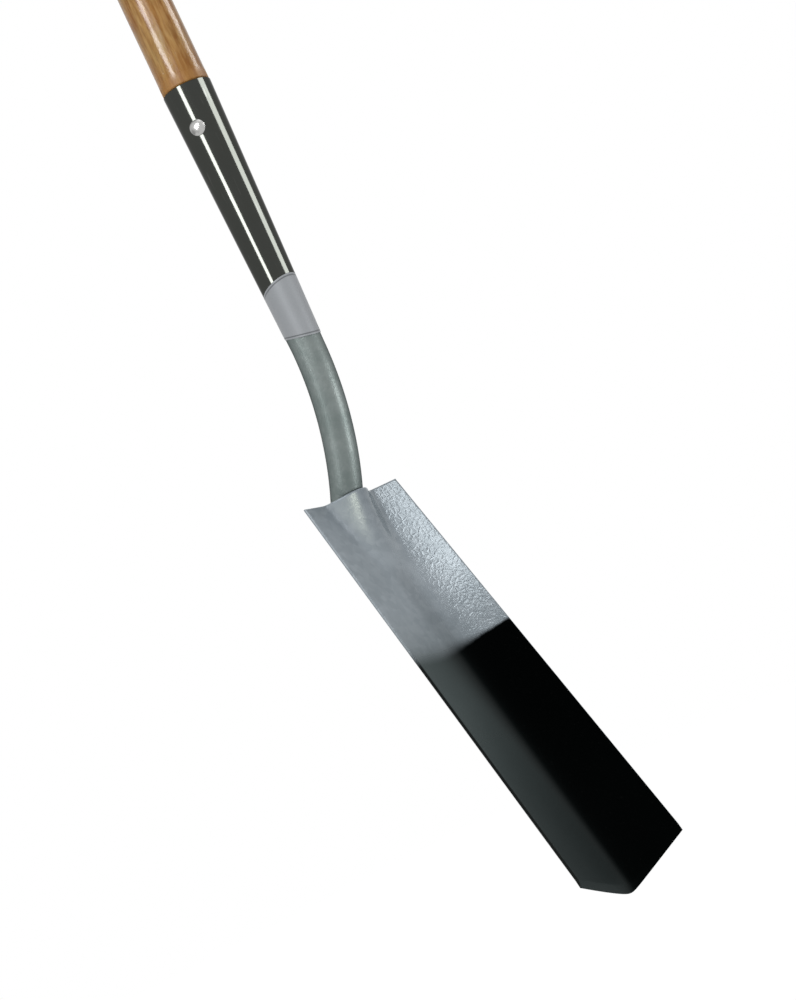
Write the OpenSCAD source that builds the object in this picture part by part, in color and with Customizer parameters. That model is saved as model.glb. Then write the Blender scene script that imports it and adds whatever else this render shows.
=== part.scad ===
// Trenching spade: a dished steel blade on a goose-necked tubular socket, with a round ash shaft.
// Z runs up the shaft axis, the dished front faces -Y, and X = 0 is the plane of symmetry.
// The origin is on the shaft axis, in the plain stretch of the shaft above the socket mouth.

/* [Shaft] */
// Diameter of the round shaft, flush with the mouth of the socket
shaft_d = 40; // [32:0.5:46]
// Diameter of the shaft at its upper end
shaft_top_d = 36; // [30:0.5:44]
// Height of the origin above the socket mouth
clip_h = 150; // [80:5:300]
// Length of shaft that shows above the socket mouth
shaft_l = 850; // [500:10:1200]
// Length of the plain round stretch above the socket mouth
plain_l = 520; // [300:10:700]
// Radius of the rounded shoulder where the shaft meets the socket mouth
shoulder_r = 2; // [0:0.25:4]
// Length of socket left free below the tapered tenon
tenon_rise = 65; // [10:5:120]

/* [Socket and neck] */
// Length of the conical socket
socket_l = 230; // [150:5:300]
// Wall thickness of the socket and the neck tube
wall_t = 2.4; // [1.5:0.1:4]
// Outer diameter of the neck tube
neck_d = 26.8; // [20:0.2:34]
// Bend radius of the neck, swinging back towards the blade
neck_r = 240; // [150:1:350]
// Angle of the backward bend
neck_a = 30.3; // [15:0.1:45]
// Bend radius of the heel, turning down along the back of the blade
heel_r = 58; // [40:1:120]
// Length of the straight tang behind the blade
tang_l = 62; // [40:1:100]
// Step by which each length of the neck is thinner than the one it grows from
neck_step = 0.15; // [0.1:0.05:0.4]
// Length by which each length of the neck laps into the one before
neck_lap = 2; // [1:0.5:4]
// Angle of the sloping cut that ends the tang
tang_cut_a = 30; // [25:1:60]

/* [Blade] */
// Length of the blade at its side edges
blade_l = 364; // [250:1:450]
// Width of the blade at its top edge
blade_top_w = 108.5; // [70:0.5:150]
// Width of the blade at its lower corners
blade_tip_w = 130.5; // [70:0.5:160]
// Depth of the dish at the top edge
dish_top = 8.6; // [2:0.1:20]
// Depth of the dish at the tip
dish_tip = 21.8; // [5:0.1:40]
// Extra length of the shallow point at the middle of the tip
tip_point = 18.2; // [0:0.1:40]
// Thickness of the blade plate
plate_t = 2.5; // [1.5:0.1:4]
// Thickness left at the ground tip
edge_t = 0.8; // [0.4:0.1:2]
// Length of the ground bevel along the tip
bevel_l = 6; // [2:0.5:15]
// Lean of the blade, forward of the shaft axis
blade_lean = 17; // [5:0.1:40]
// Drop from the socket mouth to the top edge of the blade
blade_drop = 348.5; // [280:0.5:450]
// Roundness of the crease along the dish at the top edge, as a share of the half width
crease_top_share = 0.28; // [0.02:0.01:0.4]
// Roundness of the crease along the dish at the tip, as a share of the half width
crease_tip_share = 0.07; // [0.02:0.01:0.4]
// Hollowness of the dish walls at the top edge, 1 is a straight V
dish_top_share = 1.12; // [1:0.01:2]
// Hollowness of the dish walls at the tip, 1 is a straight V
dish_tip_share = 1.12; // [1:0.01:2]

/* [Frog] */
// Height of the pressed hood at the top edge
frog_h = 21.8; // [10:0.1:35]
// Width of the pressed hood at the top edge
frog_w = 60; // [28:0.5:80]
// Dip of the top edge where it crosses the hood
frog_dip = 4; // [0:0.5:10]
// Length over which the hood fades into the dish
frog_l = 90; // [40:1:140]
// Fading of the hood along its length, 1 is a straight slope
frog_fade_share = 1.8; // [0.8:0.05:2.5]
// Narrowing of the hood towards its lower end
frog_narrow_share = 0.5; // [0:0.05:0.8]
// Flatness of the hood across its crown
frog_flat_share = 2.3; // [1.5:0.1:4]
// Blending of the hood into the dish at its foot
frog_blend_share = 2.6; // [1:0.05:3.5]

/* [Rivet] */
// Diameter of the rivet shank
rivet_d = 6; // [4:0.5:10]
// Diameter of the domed rivet heads
rivet_head_d = 13; // [8:0.5:18]
// Height of the domed rivet heads
rivet_head_h = 3; // [1:0.25:6]
// Drop from the socket mouth to the rivet
rivet_drop = 37; // [20:1:80]
// Angle of the rivet around the shaft, from the front towards -X
rivet_a = 62; // [0:1:90]

/* [Label films] */
// Thickness of the wrapped films
film_t = 0.4; // [0.2:0.1:1]
// Drop from the socket mouth to the upper edge of the dark film
film_top = 1; // [0:0.5:10]
// Height of the silver film
band_l = 44; // [20:1:80]
// Rise of the silver film's lower edge above the start of the neck bend
band_rise = 9; // [2:1:40]

/* [Weld] */
// Radius of the weld beads
weld_r = 2.6; // [1.5:0.1:4]
// Length of the side beads along the tang
weld_l = 34; // [10:1:80]

/* [Clearances] */
// Gap around the shaft tenon and under the films
seat_gap = 0.2; // [0.1:0.05:0.5]
// Gap between the tang and the blade, and around the rivet shank
weld_gap = 0.3; // [0.1:0.05:0.6]

/* [Smoothness] */
// Segments round the turned pieces
round_n = 96; // [48:8:160]
// Stations along the blade
blade_n = 46; // [24:2:60]
// Steps across each half of the blade
across_n = 26; // [12:2:30]

/* [Hidden] */
$fn = round_n;
// Radii of the shaft, its upper end and the neck tube
shaft_r = shaft_d / 2;
shaft_top_r = shaft_top_d / 2;
tube_r = neck_d / 2;
// Heights of the socket mouth, the shaft's end, the neck's start and the blade's top edge
mouth_z = -clip_h;
shaft_z = mouth_z + shaft_l;
neck_z = mouth_z - socket_l;
heel_z = mouth_z - blade_drop;
// Length of the tenon, and drops from the socket mouth to the seam and the lower edge of the films
tenon_l = socket_l - tenon_rise;
film_low = socket_l - band_rise;
film_seam = film_low - band_l;
// Change of the socket's outer radius per unit of drop
socket_slope = (shaft_r - tube_r - neck_step) / socket_l;
// Outer radius of the socket at a drop below the mouth
function socket_r(drop) = shaft_r - socket_slope * drop;

// Fall of the dish along the blade, and the heading of the tang that follows it
valley_a = atan((dish_tip - dish_top) / (blade_l + tip_point));
tang_a = valley_a - blade_lean;
heel_a = neck_a - tang_a;
// End of the backward bend, and end of the heel bend, as Y and Z
neck_y1 = neck_r * (1 - cos(neck_a));
neck_z1 = neck_z - neck_r * sin(neck_a);
heel_cy = neck_y1 - heel_r * cos(neck_a);
heel_cz = neck_z1 - heel_r * sin(neck_a);
tang_y = heel_cy + heel_r * cos(tang_a);
tang_z = heel_cz + heel_r * sin(tang_a);
// The valley of the dish lies one plate and one gap in front of the tang
tang_reach = tube_r + weld_gap + plate_t;
valley_z = heel_z - dish_top * sin(blade_lean);
valley_y = tang_y - (tang_reach + sin(tang_a) * (valley_z - tang_z)) / cos(tang_a);
heel_y = valley_y - dish_top * cos(blade_lean);

// Rounded crease: 0 in the middle of the blade and 1 at its side edges, sharper towards the tip
function crease_c(s) = crease_top_share + (crease_tip_share - crease_top_share) * s;
function crease(u, c) = (sqrt(u * u + c * c) - c) / (sqrt(1 + c * c) - c);
// Half width, depth and hollowness of the dish at a share of the length
function half_w(s) = (blade_top_w + (blade_tip_w - blade_top_w) * s) / 2;
function dish_d(s) = dish_top + (dish_tip - dish_top) * s;
function hollow(s) = dish_top_share + (dish_tip_share - dish_top_share) * s;
// Height of the dished face, measured from the plane of the side edges
function dish(u, s) = -dish_d(s) * (1 - pow(crease(u, crease_c(s)), hollow(s)));
// Length of the blade at a share of the half width
function reach(u) = blade_l + tip_point * (1 - crease(u, crease_tip_share));
// Height of the hood over the dish
function frog_half(f) = frog_w / 2 * (1 - frog_narrow_share * f);
function frog_arch(v) = v < 1 ? pow(1 - pow(v, frog_flat_share), frog_blend_share) : 0;
function frog(x, f) = f < 1 ? frog_h * pow(1 - f, frog_fade_share) * frog_arch(abs(x) / frog_half(f)) : 0;
// Point of the dished face: across, towards the back, and up
function face(u, s) =
    let (x = u * half_w(s), dip = frog_dip * frog_arch(abs(x) / frog_half(0)))
    let (a = dip + s * (reach(u) - dip))
    [x, -dish(u, s) - frog(x, a / frog_l), -a];
// Unit vector out of the dished face
step_share = 0.004;
function out(u, s) =
    let (u0 = max(u - step_share, -1), u1 = min(u + step_share, 1))
    let (s0 = max(s - step_share, 0), s1 = min(s + step_share, 1))
    let (n = cross(face(u, s1) - face(u, s0), face(u1, s) - face(u0, s)))
    n / norm(n);
// Depth ground off the face near the tip
function ground(s) = s < 1 ? 0 : plate_t - edge_t;

// Shares along and across the blade, closer together at the hood and at the crease
along_share = 1.5;
across_share = 1.2;
bevel_share = bevel_l / blade_l;
stations = concat(
    [for (i = [0 : blade_n - 2]) (1 - bevel_share) * pow(i / (blade_n - 2), along_share)],
    [1]
);
columns = [for (j = [-across_n : across_n]) sign(j) * pow(abs(j) / across_n, across_share)];
column_n = len(columns);
sheet_n = blade_n * column_n;
blade_points = concat(
    [for (s = stations) for (u = columns) face(u, s) - ground(s) * out(u, s)],
    [for (s = stations) for (u = columns) face(u, s) - plate_t * out(u, s)]
);
function spot(i, j, back) = back * sheet_n + i * column_n + j;
blade_faces = concat(
    [for (i = [0 : blade_n - 2]) for (j = [0 : column_n - 2])
        each let (a = spot(i, j, 0), b = spot(i, j + 1, 0), c = spot(i + 1, j + 1, 0), d = spot(i + 1, j, 0))
        [[a, b, c], [a, c, d]]],
    [for (i = [0 : blade_n - 2]) for (j = [0 : column_n - 2])
        each let (a = spot(i, j, 1), b = spot(i, j + 1, 1), c = spot(i + 1, j + 1, 1), d = spot(i + 1, j, 1))
        [[a, c, b], [a, d, c]]],
    [for (i = [0 : blade_n - 2]) each
        let (a = spot(i, 0, 0), b = spot(i + 1, 0, 0), c = spot(i + 1, 0, 1), d = spot(i, 0, 1))
        [[a, b, c], [a, c, d]]],
    [for (i = [0 : blade_n - 2]) each
        let (a = spot(i, column_n - 1, 0), b = spot(i + 1, column_n - 1, 0))
        let (c = spot(i + 1, column_n - 1, 1), d = spot(i, column_n - 1, 1))
        [[a, c, b], [a, d, c]]],
    [for (j = [0 : column_n - 2]) each
        let (a = spot(0, j, 0), b = spot(0, j + 1, 0), c = spot(0, j + 1, 1), d = spot(0, j, 1))
        [[a, c, b], [a, d, c]]],
    [for (j = [0 : column_n - 2]) each
        let (a = spot(blade_n - 1, j, 0), b = spot(blade_n - 1, j + 1, 0))
        let (c = spot(blade_n - 1, j + 1, 1), d = spot(blade_n - 1, j, 1))
        [[a, b, c], [a, c, d]]]
);

// Centre of a side bead, resting on the tang and on the back of the dish
weld_wall_a = atan((dish(2 * tube_r / blade_top_w, 0) - dish(0, 0)) / tube_r);
weld_off = tube_r + weld_r + weld_gap;
weld_in = (tube_r + weld_gap) * cos(weld_wall_a) - weld_r - weld_gap;
weld_turn_a = acos(weld_in / weld_off) - weld_wall_a;

// Places a child drawn along the tang, with the tang axis down -Z and the blade towards -Y
module at_tang() {
    translate([0, tang_y, tang_z]) rotate([tang_a, 0, 0]) children();
}

// Places a child drawn along +X from the shaft axis at the rivet
module at_rivet() {
    translate([0, 0, mouth_z - rivet_drop]) rotate([0, 0, -90 - rivet_a]) children();
}

// Dished plate with its pressed hood and ground tip
module blade() {
    color([0.45, 0.47, 0.48])
    translate([0, heel_y, heel_z])
    rotate([-blade_lean, 0, 0])
    polyhedron(points = blade_points, faces = blade_faces, convexity = 6);
}

// Backward bend of the neck, lapping up into the socket
module neck_bend(r) {
    lap_a = neck_lap / neck_r * 180 / PI;
    translate([0, neck_r, neck_z])
    rotate([-90 - lap_a, 0, 0])
    rotate([0, 90, 0])
    rotate_extrude(angle = neck_a + lap_a)
    translate([neck_r, 0])
    circle(r = r);
}

// Heel bend, lapping back into the end of the backward bend
module heel_bend(r) {
    lap_a = neck_lap / heel_r * 180 / PI;
    translate([0, heel_cy, heel_cz])
    rotate([neck_a - 90 + lap_a, 0, 0])
    rotate([0, -90, 0])
    rotate_extrude(angle = heel_a + lap_a)
    translate([heel_r, 0])
    circle(r = r);
}

// Tang behind the blade, cut on the slant at its lower end
module tang(r) {
    difference() {
        at_tang() translate([0, 0, -tang_l]) cylinder(h = tang_l + neck_lap, r = r);
        at_tang()
        translate([0, -tube_r, -tang_l])
        rotate([-tang_cut_a, 0, 0])
        translate([-neck_d, 0, -neck_d])
        cube([2 * neck_d, tang_l + neck_d, tang_l + 2 * neck_d]);
    }
}

// Conical socket, goose neck and closed tang in one piece
module socket_neck() {
    color([0.42, 0.45, 0.45])
    difference() {
        union() {
            translate([0, 0, neck_z])
            cylinder(h = socket_l, r1 = socket_r(socket_l), r2 = socket_r(0));
            neck_bend(tube_r);
            heel_bend(tube_r - neck_step);
            tang(tube_r - 2 * neck_step);
        }
        translate([0, 0, neck_z])
        cylinder(h = socket_l + wall_t, r1 = socket_r(socket_l) - wall_t, r2 = socket_r(-wall_t) - wall_t);
        neck_bend(tube_r - wall_t - neck_step);
        heel_bend(tube_r - wall_t - 2 * neck_step);
        at_rivet()
        rotate([0, 90, 0])
        cylinder(h = 2 * shaft_d, r = rivet_d / 2 + weld_gap, center = true);
    }
}

// Turned shaft with a rounded shoulder, a tapered tenon and a domed upper end
module handle_shaft() {
    tenon_r = socket_r(0) - wall_t - seat_gap;
    tenon_low_r = socket_r(tenon_l) - wall_t - seat_gap;
    dome_h = shaft_top_r / 2;
    dome_r = (shaft_top_r * shaft_top_r + dome_h * dome_h) / (2 * dome_h);
    color([0.70, 0.49, 0.27])
    difference() {
        union() {
            translate([0, 0, mouth_z - tenon_l])
            cylinder(h = tenon_l, r1 = tenon_low_r, r2 = tenon_r);
            translate([0, 0, mouth_z])
            rotate_extrude()
            union() {
                square([shaft_r - shoulder_r, shoulder_r]);
                intersection() {
                    translate([shaft_r - shoulder_r, shoulder_r]) circle(r = shoulder_r);
                    square([shaft_r, shoulder_r]);
                }
            }
            translate([0, 0, mouth_z + shoulder_r])
            cylinder(h = plain_l - shoulder_r, r = shaft_r);
            translate([0, 0, mouth_z + plain_l])
            cylinder(h = shaft_l - plain_l - dome_h, r1 = shaft_r, r2 = shaft_top_r);
            intersection() {
                translate([0, 0, shaft_z - dome_r]) sphere(r = dome_r);
                translate([0, 0, shaft_z - dome_h]) cylinder(h = dome_h, r = shaft_top_r);
            }
        }
        at_rivet()
        rotate([0, 90, 0])
        cylinder(h = 2 * shaft_d, r = rivet_d / 2 + weld_gap, center = true);
    }
}

// Cross rivet through the socket and the tenon, domed at both ends
module rivet() {
    seat_r = socket_r(rivet_drop) + film_t + 2 * seat_gap;
    dome_r = (rivet_head_d * rivet_head_d / 4 + rivet_head_h * rivet_head_h) / (2 * rivet_head_h);
    color([0.72, 0.72, 0.70])
    at_rivet()
    rotate([0, 90, 0])
    rotate_extrude()
    union() {
        translate([0, -seat_r - rivet_head_h / 2]) square([rivet_d / 2, 2 * seat_r + rivet_head_h]);
        for (side = [0, 1])
            mirror([0, side])
            intersection() {
                translate([0, seat_r + rivet_head_h - dome_r]) circle(r = dome_r);
                translate([0, seat_r]) square([rivet_head_d / 2, rivet_head_h]);
            }
    }
}

// Film wrapped round the socket between two drops below the mouth
module film(top, low) {
    gap_r = seat_gap;
    difference() {
        translate([0, 0, mouth_z - low])
        cylinder(
            h = low - top,
            r1 = socket_r(low) + gap_r + film_t,
            r2 = socket_r(top) + gap_r + film_t
        );
        translate([0, 0, mouth_z - low - film_t])
        cylinder(
            h = low - top + 2 * film_t,
            r1 = socket_r(low + film_t) + gap_r,
            r2 = socket_r(top - film_t) + gap_r
        );
        at_rivet()
        rotate([0, 90, 0])
        cylinder(h = 2 * shaft_d, r = rivet_d / 2 + weld_gap, center = true);
    }
}

// Dark film on the upper part of the socket
module label_sleeve() {
    color([0.13, 0.13, 0.14])
    film(film_top, film_seam);
}

// Silver film below the dark one
module label_band() {
    color([0.70, 0.71, 0.72])
    film(film_seam, film_low);
}

// Round-ended bead along one side of the tang
module weld_side(side) {
    color([0.40, 0.42, 0.43])
    at_tang()
    translate([side * weld_off * sin(weld_turn_a), -weld_off * cos(weld_turn_a), -tang_l]) {
        cylinder(h = weld_l, r = weld_r);
        sphere(r = weld_r);
        translate([0, 0, weld_l]) sphere(r = weld_r);
    }
}

// Bead on the -X side
module weld_left() {
    weld_side(-1);
}

// Bead on the +X side
module weld_right() {
    weld_side(1);
}

// Bead across the lower end of the tang
module weld_heel() {
    color([0.40, 0.42, 0.43])
    at_tang()
    translate([0, weld_r - tube_r, -tang_l - weld_r - weld_gap])
    rotate([0, 90, 0])
    cylinder(h = tube_r, r = weld_r, center = true);
}

blade();
socket_neck();
handle_shaft();
rivet();
label_sleeve();
label_band();
weld_left();
weld_right();
weld_heel();
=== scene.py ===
import logging
import math
from dataclasses import dataclass, field
from enum import Enum
from typing import Sequence

import bpy
import numpy as np
from mathutils import Matrix


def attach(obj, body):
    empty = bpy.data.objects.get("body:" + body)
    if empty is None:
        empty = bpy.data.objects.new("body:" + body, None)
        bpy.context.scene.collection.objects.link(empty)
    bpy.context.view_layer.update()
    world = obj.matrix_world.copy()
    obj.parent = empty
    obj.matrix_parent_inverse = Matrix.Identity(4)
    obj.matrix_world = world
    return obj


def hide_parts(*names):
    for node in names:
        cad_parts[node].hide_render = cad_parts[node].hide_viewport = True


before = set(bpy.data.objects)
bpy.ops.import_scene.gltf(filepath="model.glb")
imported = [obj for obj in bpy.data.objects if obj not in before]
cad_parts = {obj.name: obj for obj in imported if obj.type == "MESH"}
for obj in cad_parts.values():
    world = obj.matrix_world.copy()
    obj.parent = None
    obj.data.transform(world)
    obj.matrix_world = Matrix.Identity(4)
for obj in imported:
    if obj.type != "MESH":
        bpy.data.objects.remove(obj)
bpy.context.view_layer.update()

LOG = logging.getLogger("spade")
MM = 0.001
FULL_TURN = 2 * math.pi
SHARP_ANGLE = math.radians(38)
NO_FANS = np.zeros((0, 3), int)
Colour = tuple[float, float, float]
Point = tuple[float, float, float]
Span = tuple[float, float]
Socket = bpy.types.NodeSocket
Outputs = bpy.types.NodeOutputs


class Slot(str, Enum):
    """Material slots of the record, one for each piece of the spade."""

    BLADE = "blade"
    SOCKET = "socket_neck"
    SHAFT = "handle_shaft"
    RIVET = "rivet"
    SLEEVE = "label_sleeve"
    BAND = "label_band"
    WELD_LEFT = "weld_left"
    WELD_RIGHT = "weld_right"
    WELD_HEEL = "weld_heel"


class Side(float, Enum):
    """Side of the plane of symmetry, as the sign of X."""

    LEFT = -1.0
    RIGHT = 1.0


# Shared sizes


@dataclass(frozen=True)
class SpadePlan:
    """Sizes in millimetres that several pieces of the spade share."""

    mouth_z: float = -150.0
    shaft_r: float = 20.0
    socket_l: float = 230.0
    tube_r: float = 13.4
    neck_step: float = 0.15
    wall_t: float = 2.4
    neck_r: float = 240.0
    neck_a: float = math.radians(30.3)
    heel_r: float = 58.0
    tang_l: float = 62.0
    blade_l: float = 364.0
    tip_point: float = 18.2
    dish_top: float = 8.6
    dish_tip: float = 21.8
    plate_t: float = 2.5
    lean: float = math.radians(17.0)
    blade_drop: float = 348.5
    seat_gap: float = 0.2
    weld_gap: float = 0.3

    @property
    def neck_z(self) -> float:
        """Height at which the socket ends and the backward bend starts."""
        return self.mouth_z - self.socket_l

    @property
    def heel_z(self) -> float:
        """Height of the blade's top corners."""
        return self.mouth_z - self.blade_drop

    @property
    def tang_a(self) -> float:
        """Heading of the tang, which follows the fall of the dish."""
        fall = math.atan((self.dish_tip - self.dish_top) / (self.blade_l + self.tip_point))
        return fall - self.lean

    @property
    def heel_centre(self) -> Span:
        """Centre of the heel bend, one radius behind the end of the backward bend.

        Returns:
            Its Y and Z.
        """
        sin, cos = math.sin(self.neck_a), math.cos(self.neck_a)
        y = self.neck_r * (1 - cos) - self.heel_r * cos
        return y, self.neck_z - self.neck_r * sin - self.heel_r * sin

    @property
    def tang_start(self) -> Span:
        """Y and Z of the tube's axis where the heel bend ends."""
        y, z = self.heel_centre
        return y + self.heel_r * math.cos(self.tang_a), z + self.heel_r * math.sin(self.tang_a)

    @property
    def heel_y(self) -> float:
        """Place of the blade's top corners from front to back.

        The valley of the dish lies one plate and one gap before the tang.

        Returns:
            Their Y.
        """
        ty, tz = self.tang_start
        reach = self.tube_r + self.weld_gap + self.plate_t
        valley_z = self.heel_z - self.dish_top * math.sin(self.lean)
        fall = math.sin(self.tang_a) * (valley_z - tz)
        valley_y = ty - (reach + fall) / math.cos(self.tang_a)
        return valley_y - self.dish_top * math.cos(self.lean)

    def socket_radius(self, drop: np.ndarray | float) -> np.ndarray | float:
        """Outer radius of the socket: it falls evenly from the shaft's radius to the neck's.

        Args:
            drop: Distance below the socket mouth.

        Returns:
            The radius at that drop.
        """
        return self.shaft_r - (self.shaft_r - self.tube_r - self.neck_step) / self.socket_l * drop

    def from_tang(self, local: np.ndarray) -> np.ndarray:
        """Turns points of the tang's own axes (axis down -Z, blade towards -Y) into the frame.

        Args:
            local: Points, with their last axis X, Y, Z.

        Returns:
            The same points turned by the tang's heading about X and moved to its start.
        """
        ty, tz = self.tang_start
        cos, sin = math.cos(self.tang_a), math.sin(self.tang_a)
        x, y, z = local[..., 0], local[..., 1], local[..., 2]
        return np.stack([x, ty + y * cos - z * sin, tz + y * sin + z * cos], -1)


# Mesh helpers


@dataclass
class Surface:
    """Vertices in millimetres, quads, triangles of the end fans and point attributes of a piece."""

    points: np.ndarray
    quads: np.ndarray
    fans: np.ndarray = field(default_factory=NO_FANS.copy)
    marks: dict[str, np.ndarray] = field(default_factory=dict)

    def outward(self) -> "Surface":
        """Turns all faces round where they point inwards, by the sign of the volume.

        The volume is a sixth of the sum, over triangles, of corner dot (corner cross corner).

        Returns:
            The surface itself.
        """
        triangles = np.concatenate([self.quads[:, [0, 1, 2]], self.quads[:, [0, 2, 3]], self.fans])
        a, b, c = self.points[triangles].swapaxes(0, 1)
        if np.einsum("ij,ij->i", a, np.cross(b, c)).sum() < 0:
            self.quads, self.fans = self.quads[:, ::-1], self.fans[:, ::-1]
        return self


def grid_faces(
    index: np.ndarray, wrap_rows: bool = False, wrap_columns: bool = False
) -> np.ndarray:
    """Quads between neighbouring cells of an index grid.

    Args:
        index: Vertex numbers as rows by columns.
        wrap_rows: Joins the last row to the first.
        wrap_columns: Joins the last column to the first.

    Returns:
        Quads as an array of four vertex numbers each.
    """
    if wrap_rows:
        index = np.concatenate([index, index[:1]], 0)
    if wrap_columns:
        index = np.concatenate([index, index[:, :1]], 1)
    corners = (index[:-1, :-1], index[1:, :-1], index[1:, 1:], index[:-1, 1:])
    return np.stack(corners, -1).reshape(-1, 4)


def loft(rings: np.ndarray, poles: Sequence[np.ndarray] = ()) -> Surface:
    """Skins closed rings in order and closes both ends with a fan to a pole.

    Args:
        rings: Points as rings by columns by three.
        poles: First and last pole, or nothing where the last ring joins the first.

    Returns:
        A closed surface with its faces outwards.
    """
    rows, columns = rings.shape[:2]
    index = np.arange(rows * columns).reshape(rows, columns)
    quads = grid_faces(index, wrap_rows=not len(poles), wrap_columns=True)
    points, fans = rings.reshape(-1, 3), NO_FANS
    if len(poles):
        first, last = index[0], index[-1]
        pole = np.full(columns, len(points))
        below = np.stack([pole, first, np.roll(first, -1)], -1)
        above = np.stack([np.roll(last, -1), last, pole + 1], -1)
        fans = np.concatenate([below, above])
        points = np.concatenate([points, np.reshape(poles, (2, 3))])
    return Surface(points, quads, fans).outward()


def round_angles(columns: int) -> np.ndarray:
    """Even angles once round, without the last, which is the first again."""
    return np.linspace(0, FULL_TURN, columns, endpoint=False)


def turned(profile: np.ndarray, columns: int) -> np.ndarray:
    """Rings of a profile turned about Z: radius times cosine and sine of the angle, at its height.

    Args:
        profile: Radius and height pairs.
        columns: Steps round the axis.

    Returns:
        Rings as profile points by columns by three.
    """
    angle = round_angles(columns)
    r, z = profile[:, :1], profile[:, 1:]
    return np.stack([r * np.cos(angle), r * np.sin(angle), z + 0 * angle], -1)


def arc(centre: Span, radius: float, start: float, end: float, steps: int) -> np.ndarray:
    """Points of a circular arc in a profile's plane: centre plus radius times cosine and sine.

    Args:
        centre: Centre of the arc.
        radius: Its radius.
        start: First angle in radians.
        end: Last angle in radians.
        steps: Number of points.

    Returns:
        The points as an array of pairs.
    """
    t = np.linspace(start, end, steps)
    return np.stack([centre[0] + radius * np.cos(t), centre[1] + radius * np.sin(t)], -1)


def smooth_step(value: np.ndarray, low: float, high: float) -> np.ndarray:
    """Cubic step from 0 at low to 1 at high."""
    t = np.clip((value - low) / (high - low), 0, 1)
    return t * t * (3 - 2 * t)


def two_sheets(values: np.ndarray) -> np.ndarray:
    """A grid's values on a front sheet, then on a back sheet that shares the front's rim."""
    return np.concatenate([values.ravel(), values[1:-1, 1:-1].ravel()])


def link(item: bpy.types.Object) -> None:
    """Puts an object into the scene."""
    bpy.context.scene.collection.objects.link(item)


def place(name: str, surface: Surface, slot: Slot, material: bpy.types.Material) -> None:
    """Makes the mesh object of a piece, dresses it and puts it in the frame for its solid.

    Args:
        name: Name of the piece.
        surface: Its closed surface in millimetres.
        slot: The record's slot, whose name is also the solid's.
        material: The finish.
    """
    faces = surface.quads.tolist() + surface.fans.tolist()
    mesh = bpy.data.meshes.new(name)
    mesh.from_pydata((surface.points * MM).tolist(), [], faces)
    for mark, values in surface.marks.items():
        layer = mesh.attributes.new(mark, "FLOAT", "POINT")
        layer.data.foreach_set("value", np.ascontiguousarray(values, np.float32))
    mesh.polygons.foreach_set("use_smooth", np.ones(len(mesh.polygons), bool))
    mesh.set_sharp_from_angle(angle=SHARP_ANGLE)
    mesh.materials.append(material)
    mesh.update()
    piece = bpy.data.objects.new(name, mesh)
    link(piece)
    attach(piece, "root")
    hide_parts(slot.value)
    LOG.info("%s: %d points, %d faces", name, len(surface.points), len(faces))


# Shader helpers


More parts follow.
